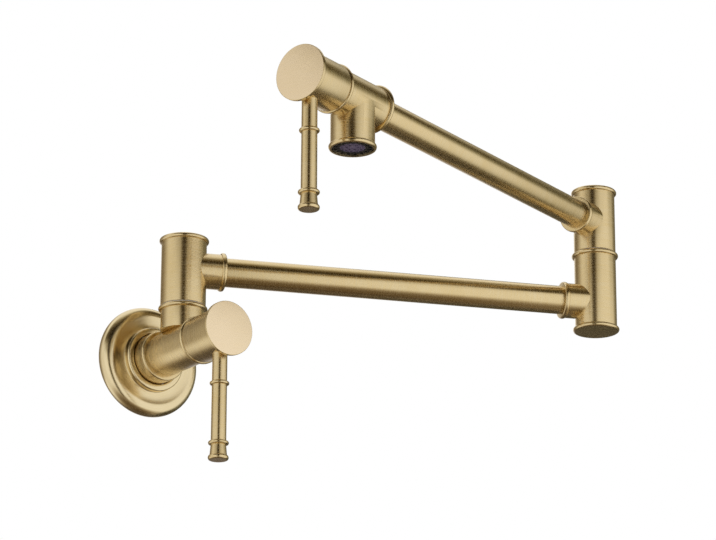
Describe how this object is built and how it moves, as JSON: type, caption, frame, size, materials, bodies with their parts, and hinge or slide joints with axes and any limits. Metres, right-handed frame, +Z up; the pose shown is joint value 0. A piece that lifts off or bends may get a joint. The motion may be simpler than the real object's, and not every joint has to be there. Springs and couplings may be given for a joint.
{
  "type": "wall mounted pot filler",
  "caption": "Wall mounted pot filler tap with a domed wall flange, two swinging arms on swivel columns, a lever valve at the wall and another over the spout.",
  "frame": {"origin": "centre of the threaded inlet's mouth, in the plane of the wall", "axes": "+Z up, +Y into the wall along the inlet's axis, and the filler reaches out into the room along -Y"},
  "size_m": [0.3284, 0.2676, 0.2099],
  "materials": {
    "brushed_gold": "fine brushed pale gold",
    "plain_brass": "machined",
    "stainless_steel": "machined",
    "black_rubber": "matte",
    "white_ptfe": "smooth",
    "white_ceramic": "lapped",
    "aerator_black": "moulded",
    "aerator_grey": "moulded"
  },
  "bodies": {
    "inlet": {"wall_flange": "brushed_gold", "flange_gasket": "black_rubber", "flange_o_ring": "black_rubber", "inlet_body": "brushed_gold", "lower_cartridge_body": "plain_brass", "lower_cartridge_nut": "plain_brass", "lower_seat_seal": "black_rubber", "lower_fixed_disc": "white_ceramic", "shoulder_post": "plain_brass", "shoulder_lower_o_ring": "black_rubber", "shoulder_upper_o_ring": "black_rubber", "shoulder_thrust_washer": "white_ptfe", "shoulder_retaining_washer": "stainless_steel", "shoulder_retaining_screw": "stainless_steel"},
    "arm_1": {"shoulder_sleeve": "brushed_gold", "shoulder_cap": "brushed_gold", "arm_1_tube": "brushed_gold", "elbow_housing": "brushed_gold", "elbow_plug": "brushed_gold", "elbow_post": "plain_brass", "elbow_lower_o_ring": "black_rubber", "elbow_upper_o_ring": "black_rubber", "elbow_thrust_washer": "white_ptfe", "elbow_retaining_washer": "stainless_steel", "elbow_retaining_screw": "stainless_steel"},
    "arm_2": {"elbow_sleeve": "brushed_gold", "elbow_cap": "brushed_gold", "arm_2_tube": "brushed_gold", "spout_body": "brushed_gold", "upper_cartridge_body": "plain_brass", "upper_cartridge_nut": "plain_brass", "upper_seat_seal": "black_rubber", "upper_fixed_disc": "white_ceramic", "aerator_housing": "aerator_black", "aerator_screen": "aerator_grey", "aerator_diffuser": "aerator_grey", "aerator_washer": "black_rubber"},
    "lower_lever": {"lower_moving_disc": "white_ceramic", "lower_stem": "plain_brass", "lower_stem_o_ring": "black_rubber", "lower_lever_hub": "brushed_gold", "lower_lever_rod": "brushed_gold", "lower_lever_knob": "brushed_gold", "lower_handle_screw": "stainless_steel"},
    "upper_lever": {"upper_moving_disc": "white_ceramic", "upper_stem": "plain_brass", "upper_stem_o_ring": "black_rubber", "upper_lever_hub": "brushed_gold", "upper_lever_rod": "brushed_gold", "upper_lever_knob": "brushed_gold", "upper_handle_screw": "stainless_steel"}
  },
  "joints": [
    {"name": "shoulder_swing", "type": "hinge", "parent": "inlet", "child": "arm_1", "pos_m": [0, -0.046, 0.0517], "axis": [0, 0, 1], "range_deg": [-162, 27]},
    {"name": "elbow_swing", "type": "hinge", "parent": "arm_1", "child": "arm_2", "pos_m": [0.25202, -0.14833, 0.1062], "axis": [0, 0, 1], "range_deg": [-40, 310]},
    {"name": "lower_lever_turn", "type": "hinge", "parent": "inlet", "child": "lower_lever", "pos_m": [0, -0.046, 0], "axis": [0, -1, 0], "range_deg": [0, 90]},
    {"name": "upper_lever_turn", "type": "hinge", "parent": "arm_2", "child": "upper_lever", "pos_m": [-0.00593, -0.23464, 0.1062], "axis": [-0.9483, -0.3173, 0], "range_deg": [0, 90]}
  ]
}
